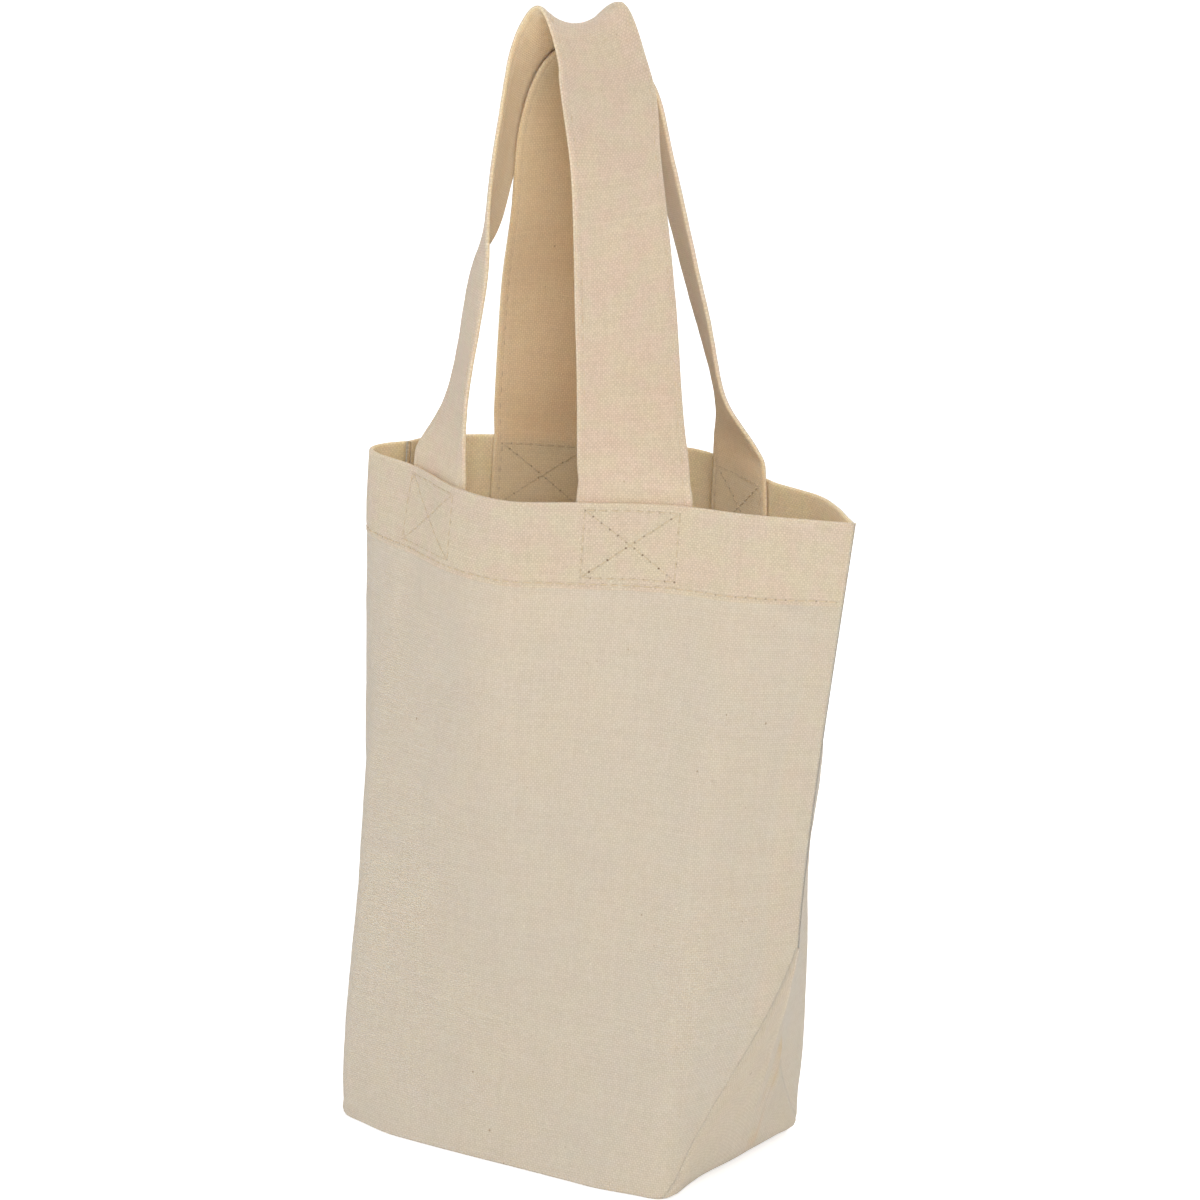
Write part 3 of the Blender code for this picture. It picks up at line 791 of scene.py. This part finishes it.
def thread_points(middle, across, up, radius):
    """Rings of points around a thread's middle line."""
    rings = []
    for angle in np.linspace(0, 2 * math.pi, thread_sides, endpoint=False):
        rings.append(middle + radius * (math.cos(angle) * across + math.sin(angle) * up))
    return np.stack(rings, axis=1).reshape(-1, 3)


def stitch_mesh(runs, name, material, radius):
    """Single stitches along sewn lines."""
    points = []
    faces = []
    long = stitch_length / mm
    arch = np.sin(np.linspace(0, math.pi, stitch_stations))[:, None]
    lifts = radius * (1.1 * arch - 0.55)
    radii = radius * (0.55 + 0.45 * arch)
    for length, place in runs:
        count = max(int(length / (stitch_pitch / mm)), 1)
        pitch = length / count
        for start in np.arange(count) * pitch + (pitch - long) / 2:
            middle, normal = place(np.linspace(start, start + long, stitch_stations))
            across = np.cross(normal, unit(np.gradient(middle, axis=0)))
            faces += thread_faces(stitch_stations, len(points) * stitch_stations * thread_sides)
            points.append(thread_points(middle + normal * lifts, across, 0.8 * normal, radii))
    flat = np.concatenate(points)
    return add_mesh(name, flat, faces, [material], flat / mm)


def sewn_line(start, finish, spot_at):
    """A line's length, and the function from distance along it to spot_at's points and normals."""
    a, b = np.array(start, float), np.array(finish, float)
    length = float(np.hypot(*(b - a)))
    return length, lambda distance: spot_at(*(a + np.outer(distance / length, b - a)).T)


def wall_run(side, start, finish, depth=0.0, outward=True):
    """A sewn line on a wall between two places given as millimetres along the panel and height."""

    def spot_at(along_mm, height_mm):
        share, height = along_mm / 100, height_mm * mm
        out = relief(side, share, height)
        point = wall(side, share, height, depth - out)
        normal = (point - wall(side, share, height, depth - out + mm)) / mm
        return point, normal if outward else -normal

    return sewn_line(start, finish, spot_at)


def strap_run(surface, start, finish, face, lift=0.00062):
    """A sewn line on a strap between two places given as distance along it and across it."""

    def spot_at(run_mm, across_mm):
        low = surface_at(surface, run_mm, across_mm, np.full(len(run_mm), face * lift))
        high = surface_at(surface, run_mm, across_mm, np.full(len(run_mm), face * (lift + mm)))
        return low, unit(high - low)

    return sewn_line(start, finish, spot_at)


def box_lines(u0, v0, half_u, half_v):
    """The four sides and two diagonals of a sewn box."""
    signs = ((-1, -1), (1, -1), (-1, 1), (1, 1))
    a, b, c, d = ((u0 + x * half_u, v0 + y * half_v) for x, y in signs)
    return [(a, b), (c, d), (a, c), (b, d), (a, d), (c, b)]


def make_stitches(side, surface, thread):
    """The hem's row, the two boxes and the two edge rows of one side, each on both faces."""
    height = (body_height - stitch_drop) / mm
    marks = np.linspace(-98.0, 98.0, 13)
    runs = []
    for depth, outward in ((0.0, True), (2 * cloth_thickness + layer_gap, False)):
        for a, b in zip(marks, marks[1:]):
            runs.append(wall_run(side, (a, height), (b, height), depth, outward))
    item = stitch_mesh(runs, f"{side}_hem_thread", thread, hem_thread_radius)
    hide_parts(f"{side}_hem_stitch")
    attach(item, "bag")
    _, normal, run = surface
    middles = (tail_middle, run[-1] - tail_middle)
    for place, root, middle in zip(("left", "right"), root_shares[side], middles):
        lines = box_lines(root * 100, box_middle, box_half_width, box_half_height)
        runs = [wall_run(side, a, b) for a, b in lines]
        lines = box_lines(middle, 0, box_half_height, box_half_width)
        runs += [strap_run(surface, a, b, inner_face(side, normal)) for a, b in lines]
        item = stitch_mesh(runs, f"{side}_{place}_box_thread", thread, box_thread_radius)
        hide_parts(f"{side}_{place}_box_stitch")
        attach(item, "bag")
    marks = np.linspace(6, run[-1] - 6, 61)
    for name, across in (("first", -edge_row), ("second", edge_row)):
        runs = []
        for face in (-1, 1):
            for a, b in zip(marks, marks[1:]):
                runs.append(strap_run(surface, (a, across), (b, across), face, 0.00050))
        item = stitch_mesh(runs, f"{side}_strap_{name}_edge_thread", thread, edge_thread_radius)
        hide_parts(f"{side}_handle_{name}_edge_stitch")
        blend_strap(item)


def blend_strap(item):
    """Bake the transform of a piece that crosses the rim from the bag into its handle."""
    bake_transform(item)


# ---- side seams


def make_seam(end, name, cloth_material, thread):
    """The two seam allowances pressed against the front panel inside, wrapped with overlock thread."""
    foot, top = 0.002, body_height - hem_height - 0.0006
    near = cloth_thickness + layer_gap
    far = near + 2 * cloth_thickness
    across, height = np.meshgrid(np.linspace(0.0006, seam_width, 9), np.linspace(foot, top, 120))
    share = end * (1 - across * 2 / panel_width)
    out = relief("front", share, height)
    edge = 0.10 * mm * waves(across / mm, height / mm, 6, 7, 61)
    skins = [wall("front", share, height, depth - out) for depth in (near, far + edge)]
    cloth = np.stack([share * 100, height / mm, np.full(share.shape, 0.8)], axis=2)
    item = shell(f"{name}_cloth", *skins, cloth, [cloth_material])
    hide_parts(name)
    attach(item, "bag")
    turns = np.arange(int((top - foot) / overlock_pitch) * 8) / 8
    phase = turns % 1
    across = seam_width + 0.0003 - overlock_bite * (1 - np.abs(2 * phase - 1))
    share = end * (1 - across * 2 / panel_width)
    height = foot + 0.001 + turns * overlock_pitch
    depth = np.where(phase < 0.5, far + 0.00025, near - 0.0001)
    path = wall("front", share, height, depth - relief("front", share, height))
    item = tube(f"{name}_overlock", path, overlock_radius, thread)
    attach(item, "bag")


def tube(name, path, radius, material):
    """A thread of even thickness along a path."""
    run = unit(np.gradient(path, axis=0))
    across = unit(np.cross(run, (0.31, 0.52, 0.79)))
    flat = thread_points(path, across, np.cross(run, across), radius)
    return add_mesh(name, flat, thread_faces(len(path)), [material], flat / mm)


# ---- materials


def linear(*colour):
    """The linear colour of an sRGB colour that is given from 0 to 255."""
    shares = [value / 255 for value in colour]
    return tuple(c / 12.92 if c <= 0.04045 else ((c + 0.055) / 1.055) ** 2.4 for c in shares)


class Value:
    """A number in a node tree; arithmetic on it adds math nodes."""

    def __init__(self, nodes, socket):
        self.nodes = nodes
        self.socket = socket

    def __add__(self, other):
        return self.nodes.math("ADD", self, other)

    def __sub__(self, other):
        return self.nodes.math("SUBTRACT", self, other)

    def __rsub__(self, other):
        return self.nodes.math("SUBTRACT", other, self)

    def __mul__(self, other):
        return self.nodes.math("MULTIPLY", self, other)

    def __truediv__(self, other):
        return self.nodes.math("DIVIDE", self, other)

    def __abs__(self):
        return self.nodes.math("ABSOLUTE", self)


class Nodes:
    """Short names for building the node tree of a material or of the world."""

    def __init__(self, block, shader="Principled BSDF"):
        block.use_nodes = True
        self.block = block
        self.tree = block.node_tree
        self.shader = self.tree.nodes[shader]

    def add(self, kind, **values):
        node = self.tree.nodes.new(kind)
        for key, value in values.items():
            setattr(node, key, value)
        return node

    def feed(self, socket, value):
        """Link a value to a socket, or set a constant on it."""
        value = value.socket if isinstance(value, Value) else value
        if isinstance(value, bpy.types.NodeSocket):
            self.tree.links.new(value, socket)
        else:
            socket.default_value = value

    def fill(self, node, inputs):
        for name, value in inputs.items():
            self.feed(node.inputs[name], value)

    def feed_all(self, node, values):
        for socket, value in zip(node.inputs, values):
            self.feed(socket, value)
        return node.outputs[0]

    def math(self, operation, *values):
        return Value(self, self.feed_all(self.add("ShaderNodeMath", operation=operation), values))

    def span(self, value, low, high, to_low=0.0, to_high=1.0):
        node = self.add("ShaderNodeMapRange", interpolation_type="SMOOTHSTEP")
        return Value(self, self.feed_all(node, (value, low, high, to_low, to_high)))

    def vector(self, *values):
        return self.feed_all(self.add("ShaderNodeCombineXYZ"), values)

    def mix(self, share, a, b, blend="MIX"):
        node = self.add("ShaderNodeMix", data_type="RGBA", blend_type=blend)
        self.feed(node.inputs["Factor"], share)
        for index, colour in ((6, a), (7, b)):
            self.feed(node.inputs[index], (*colour, 1) if isinstance(colour, tuple) else colour)
        return node.outputs[2]

    def tint(self, colour, tint):
        return self.mix(1.0, colour, tint, "MULTIPLY")

    def noise(self, vector, scale, detail=2.0, roughness=0.5):
        node = self.add("ShaderNodeTexNoise")
        self.fill(node, {"Vector": vector, "Scale": scale, "Detail": detail, "Roughness": roughness})
        return Value(self, node.outputs["Fac"])

    def bump(self, height, strength, distance):
        node = self.add("ShaderNodeBump")
        self.fill(node, {"Strength": strength, "Distance": distance, "Height": height})
        self.feed(self.shader.inputs["Normal"], node.outputs[0])


warp_spacing = 0.64
weft_spacing = 0.70
# seed step, cell scale, size, share of the cells, strength and colour: husks, dust and pale neps
flecks = (
    (40, 0.15, 0.30, 0.6, 0.55, (146, 118, 84)),
    (60, 0.33, 0.16, 0.3, 0.35, (160, 132, 98)),
    (80, 0.30, 0.25, 0.22, 0.40, (236, 226, 208)),
)
pink, straw = (1.03, 0.975, 0.97), (1.01, 1.015, 0.955)
cloth_finish = {
    "Specular IOR Level": 0.15,
    "Sheen Weight": 0.06,
    "Sheen Roughness": 0.6,
    "Subsurface Weight": 0.7,
    "Subsurface Radius": (1.0, 0.86, 0.68),
    "Subsurface Scale": 0.0016,
}


def painted_hole_shade(n, u, v, boxes, hem_line):
    """How much painted shade darkens the needle holes of the hem row and of the sewn boxes."""
    pitch = stitch_pitch / mm

    def dots(off, run, limit, strength):
        step = (n.math("FRACT", run / pitch) - 0.5) * pitch
        spot = n.span(n.math("SQRT", step * step + off * off), 0.46, 0.18)
        return spot * n.math("LESS_THAN", run, limit) * strength

    marks = []
    if hem_line is not None:
        marks.append(dots(v - hem_line, abs(u), 99.0, 0.5))
    for u0, v0, half_u, half_v, strength in boxes:
        a, b = abs(u - u0), abs(v - v0)
        long = math.hypot(half_u, half_v)
        marks.append(dots(b - half_v, a, half_u + 0.3, 0.75 * strength))
        marks.append(dots(a - half_u, b, half_v + 0.3, 0.75 * strength))
        cross = a * (half_v / long) - b * (half_u / long)
        run = a * (half_u / long) + b * (half_v / long)
        marks.append(dots(cross, run, long, strength))
    total = marks[0]
    for mark in marks[1:]:
        total = n.math("MAXIMUM", total, mark)
    return total


def specks(n, u, v, seed, scale, size, share):
    """Small round marks of uneven size, scattered one to a cell over a share of the cells."""
    cells = n.add("ShaderNodeTexVoronoi")
    n.fill(cells, {"Vector": n.vector(u, v * 0.75, seed), "Scale": scale})
    pick = n.add("ShaderNodeSeparateColor")
    n.feed(pick.inputs[0], cells.outputs["Color"])
    reach = n.math("POWER", pick.outputs[0], 2.5) * (size * scale) + 0.06 * scale
    near = n.span(Value(n, cells.outputs["Distance"]) - reach, 0.10 * scale, 0.0)
    return near * n.math("LESS_THAN", pick.outputs[1], share)


def weave(n, u, v, seed):
    """The height of the woven threads, and a tone for each thread about a half."""
    sway = n.noise(n.vector(u, v, seed), 0.25) - 0.5
    warp_place = (u + sway * 1.1) / warp_spacing
    weft_place = (v - sway * 0.9) / weft_spacing
    warp_number, weft_number = n.math("FLOOR", warp_place), n.math("FLOOR", weft_place)
    warp_tone = n.noise(n.vector(warp_number, v * 0.05, seed + 3), 0.93, 1.0)
    weft_tone = n.noise(n.vector(u * 0.05, weft_number, seed + 9), 0.93, 1.0)
    warp_wave = n.math("SINE", warp_place * math.pi)
    weft_wave = n.math("SINE", weft_place * math.pi)
    over = n.span(warp_wave * weft_wave, -0.3, 0.3)
    warp = abs(warp_wave) * (warp_tone * 0.8 + 0.6)
    weft = abs(weft_wave) * (weft_tone * 0.8 + 0.6)
    high = warp * over + weft * (1.0 - over)
    grain = n.add("ShaderNodeTexWhiteNoise", noise_dimensions="3D")
    n.feed(grain.inputs["Vector"], n.vector(warp_number, weft_number, seed))
    tone = (warp_tone * 0.45 + weft_tone * 0.55 - 0.5) * 0.45 + 0.5
    tone = tone + (Value(n, grain.outputs["Value"]) - 0.5) * 0.32 + (over - 0.5) * 0.30
    return high, tone


def canvas(name, thin, thick, boxes=(), hem_line=None, seed=0.0):
    """Unbleached plain-weave cotton, thin where one cloth lies and thick where layers lie together; on
    the straps and the gusset the same mix paints light and shade.
    """
    n = Nodes(bpy.data.materials.new(name))
    place = n.add("ShaderNodeAttribute", attribute_name="cloth").outputs["Vector"]
    split = n.add("ShaderNodeSeparateXYZ")
    n.feed(split.inputs[0], place)
    u, v, layers_or_painted_light = (Value(n, socket) for socket in split.outputs)
    high, thread = weave(n, u, v, seed)
    # the cloth's third value mixes a single cloth with layers lying together, and on the straps and the
    # gusset it mixes in painted light and painted shade
    colour = n.mix(layers_or_painted_light, thin, thick)
    broad = n.span(n.noise(n.vector(u, v, seed + 20), 0.035, 3.0, 0.6), 0.3, 0.7)
    colour = n.mix(broad, n.tint(colour, (0.99, 0.993, 1.0)), n.tint(colour, (1.01, 1.0, 0.985)))
    blotch = n.span(n.noise(n.vector(u, v, seed + 30), 0.13), 0.36, 0.64)
    blotchy = n.mix(blotch, n.tint(colour, pink), n.tint(colour, straw))
    colour = n.mix(layers_or_painted_light * 0.6 + 0.25, colour, blotchy)
    contrast = layers_or_painted_light * 0.25 + 0.75
    dull = n.mix(contrast, colour, n.tint(colour, (0.91, 0.895, 0.87)))
    bright = n.mix(contrast, colour, n.tint(colour, (1.065, 1.07, 1.08)))
    colour = n.mix(n.span(thread, 0.15, 0.85), dull, bright)
    # painted shade: the hollows between the threads are darkened and warmed
    hollow_shade = n.span(high, 0.62, 0.10)
    colour = n.mix(hollow_shade * 0.85, colour, n.tint(colour, (0.77, 0.72, 0.64)))
    for step, scale, size, share, strength, mark in flecks:
        fleck = specks(n, u, v, seed + step, scale, size, share)
        colour = n.mix(fleck * strength, colour, linear(*mark))
    if boxes or hem_line is not None:
        # painted shade: the needle holes are darkened towards a warm brown
        holes = painted_hole_shade(n, u, v, boxes, hem_line)
        uneven = n.span(n.noise(n.vector(u, v, seed), 0.45, 0.0), 0.3, 0.65, 0.25, 0.9)
        colour = n.mix(holes * uneven, colour, linear(112, 84, 56))
        high = high - holes * 1.5
    fuzz = n.noise(n.vector(u, v, seed), 4.0) * 0.35
    n.fill(n.shader, {"Base Color": colour, "Roughness": n.span(high, 0.1, 0.9, 0.97, 0.86)})
    n.fill(n.shader, cloth_finish)
    n.bump((thread - 0.5) * 0.7 + high + fuzz, 0.45, 0.00020)
    return n.block


def thread_material(name, colour):
    """Twisted cotton thread."""
    n = Nodes(bpy.data.materials.new(name))
    place = n.add("ShaderNodeAttribute", attribute_name="cloth").outputs["Vector"]
    twist = n.add("ShaderNodeTexWave", wave_type="BANDS", bands_direction="DIAGONAL")
    n.fill(twist, {"Vector": place, "Scale": 1.4, "Distortion": 1.5})
    ply = twist.outputs["Fac"]
    worn = n.span(n.noise(place, 1.2), 0.3, 0.7, 0.0, 0.35)
    # painted shade: the grooves of the twist are darkened
    tint = n.mix(ply, n.tint(colour, (0.88, 0.86, 0.82)), colour)
    tint = n.mix(worn, tint, n.tint(colour, (0.85, 0.80, 0.72)))
    rough = n.span(ply, 0.0, 1.0, 0.85, 0.7)
    n.fill(n.shader, {"Base Color": tint, "Roughness": rough, "Specular IOR Level": 0.25})
    n.bump(ply, 0.35, 0.00010)
    return n.block


# ---- stage

floor_size = 6.0
floor_drop = 0.0001
floor_glow = 0.54
world_strength = 0.50
light_target = (0, 0, 0.17)
# azimuth, elevation, distance, side length and power
lights = {
    "key_softbox": (44, 24, 2.6, 0.9, 33),
    "left_softbox": (-40, 26, 2.4, 0.9, 10),
    "back_softbox": (190, 35, 2.0, 1.0, 12),
}
camera_azimuth = 35.798
camera_elevation = 15.886
camera_distance = 1.6682
camera_aim = (stand_across, stand_depth, 0.110)
camera_right, camera_up = 0.0100, 0.0608
focal_dots, photo_dots = 5308, 1200
sensor = 36


def seen(n):
    """1 on the rays that reach the eye straight or by way of a mirror or glass."""
    rays = n.add("ShaderNodeLightPath").outputs
    other = n.math("MAXIMUM", rays["Is Glossy Ray"], rays["Is Transmission Ray"])
    return n.math("MAXIMUM", rays["Is Camera Ray"], other)


def make_floor():
    mesh = bpy.data.meshes.new("floor")
    corners = ((-1, -1), (1, -1), (1, 1), (-1, 1))
    mesh.from_pydata([(x * floor_size, y * floor_size, 0) for x, y in corners], [], [(0, 1, 2, 3)])
    item = bpy.data.objects.new("floor", mesh)
    item.location.z = -floor_drop
    bpy.context.scene.collection.objects.link(item)
    n = Nodes(bpy.data.materials.new("pale_floor"))
    pale = {"Base Color": (0.88, 0.88, 0.88, 1), "Roughness": 0.95, "Specular IOR Level": 0.1}
    n.fill(n.shader, pale)
    glow = n.add("ShaderNodeEmission")
    n.feed(glow.inputs["Strength"], seen(n) * floor_glow)
    both = n.feed_all(n.add("ShaderNodeAddShader"), (n.shader.outputs[0], glow.outputs[0]))
    n.feed(n.tree.nodes["Material Output"].inputs["Surface"], both)
    mesh.materials.append(n.block)


def direction(azimuth, elevation):
    a, e = math.radians(azimuth), math.radians(elevation)
    return Vector((math.sin(a) * math.cos(e), -math.cos(a) * math.cos(e), math.sin(e)))


def make_light(name, azimuth, elevation, distance, size, power):
    light = bpy.data.lights.new(name, "AREA")
    light.shape = "SQUARE"
    light.size = size
    light.energy = power
    item = bpy.data.objects.new(name, light)
    bpy.context.scene.collection.objects.link(item)
    back = direction(azimuth, elevation)
    item.location = Vector(light_target) + back * distance
    item.rotation_mode = "QUATERNION"
    item.rotation_quaternion = back.to_track_quat("Z", "Y")


def make_world():
    world = bpy.data.worlds.new("studio")
    bpy.context.scene.world = world
    n = Nodes(world, "Background")
    strength = seen(n) * (1 - world_strength) + world_strength
    n.fill(n.shader, {"Color": (1, 1, 1, 1), "Strength": strength})


def make_camera():
    """The photo's camera, as fitted to the bag's corners, rim and hem."""
    back = direction(camera_azimuth, camera_elevation)
    turn = math.radians(camera_azimuth)
    right = Vector((math.cos(turn), math.sin(turn), 0))
    up = back.cross(right)
    camera = bpy.data.objects.new("camera", bpy.data.cameras.new("camera"))
    bpy.context.scene.collection.objects.link(camera)
    camera.data.sensor_fit = "HORIZONTAL"
    camera.data.sensor_width = sensor
    camera.data.lens = focal_dots / photo_dots * sensor
    camera.data.clip_start = 0.05
    camera.data.clip_end = 50
    place = Vector(camera_aim) + back * camera_distance + right * camera_right + up * camera_up
    facing = Matrix((right, up, back)).transposed().to_4x4()
    camera.matrix_world = Matrix.Translation(place) @ facing
    bpy.context.scene.camera = camera


# ---- build

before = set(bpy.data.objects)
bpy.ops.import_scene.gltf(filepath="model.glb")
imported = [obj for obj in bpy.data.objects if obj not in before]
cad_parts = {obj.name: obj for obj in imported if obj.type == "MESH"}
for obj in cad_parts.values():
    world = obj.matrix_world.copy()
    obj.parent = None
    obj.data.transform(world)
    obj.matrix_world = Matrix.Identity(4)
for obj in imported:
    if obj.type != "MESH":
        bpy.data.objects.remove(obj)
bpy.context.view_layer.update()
bpy.context.scene.view_settings.view_transform = "Standard"

single = linear(212, 201, 185)
double = linear(217, 202, 183)
# painted light: the faces inside the bag take a brighter, warmer copy of the cloth's colours, painted
# for the warm light that bounces inside the bag and shines through its walls
inside_single_painted_light = linear(238, 216, 184)
inside_double_painted_light = linear(243, 219, 184)
# painted light: the straps' inner faces take a brighter, warmer copy of the cloth's colour, painted for
# the warm light that bounces between the straps
strap_inner_painted_light = linear(232, 213, 181)
# painted shade: the dark warm colour painted along the right ear's creases
ear_crease_shade = linear(214, 190, 157)
canvas_seeds = {"front": (2.0, 31.0, 71.0), "back": (13.0, 47.0, 83.0)}
# how strongly painted shade darkens the needle holes of the left and right boxes, and of the boxes on
# the straps' sewn ends
box_strengths = (0.35, 0.9)
hidden_box_strength = 0.6


def dress(side, thread):
    """One panel with its strap and every stitch in them."""
    outside_seed, inside_seed, strap_seed = canvas_seeds[side]
    box = (box_half_width, box_half_height)
    middle = cloth_height(box_middle * mm)
    boxes = [(root * 100, middle, *box, dark) for root, dark in zip(root_shares[side], box_strengths)]
    hem_line = cloth_height(body_height - stitch_drop)
    outer = canvas(f"{side}_canvas", single, double, boxes, hem_line, seed=outside_seed)
    # the faces looking into the bag wear the painted-light copy of the cloth's colours
    inner = canvas(f"{side}_canvas_inside", inside_single_painted_light, inside_double_painted_light, seed=inside_seed)
    make_panel(side, outer, inner)
    surface = strap_surface(side)
    middles = (tail_middle, surface[2][-1] - tail_middle)
    boxes = [(0.0, middle, *box, hidden_box_strength) for middle in middles]
    cloth = canvas(f"{side}_strap_canvas", strap_inner_painted_light, double, boxes, seed=strap_seed)
    blend_strap(make_strap(side, surface, cloth))
    make_stitches(side, surface, thread)


threads = thread_material("natural_thread", linear(222, 202, 172))
for side in sides:
    dress(side, threads)
make_gusset(canvas("gusset_canvas", single, ear_crease_shade, seed=97.0))
# the seam allowances inside the bag wear the same painted-light copy of the cloth's colours
edging = canvas("edging_canvas", inside_single_painted_light, inside_double_painted_light, seed=113.0)
for end, name in ((-1, "left_side_seam"), (1, "right_side_seam")):
    make_seam(end, name, edging, threads)

make_floor()
make_world()
make_camera()
for name, values in lights.items():
    make_light(name, *values)
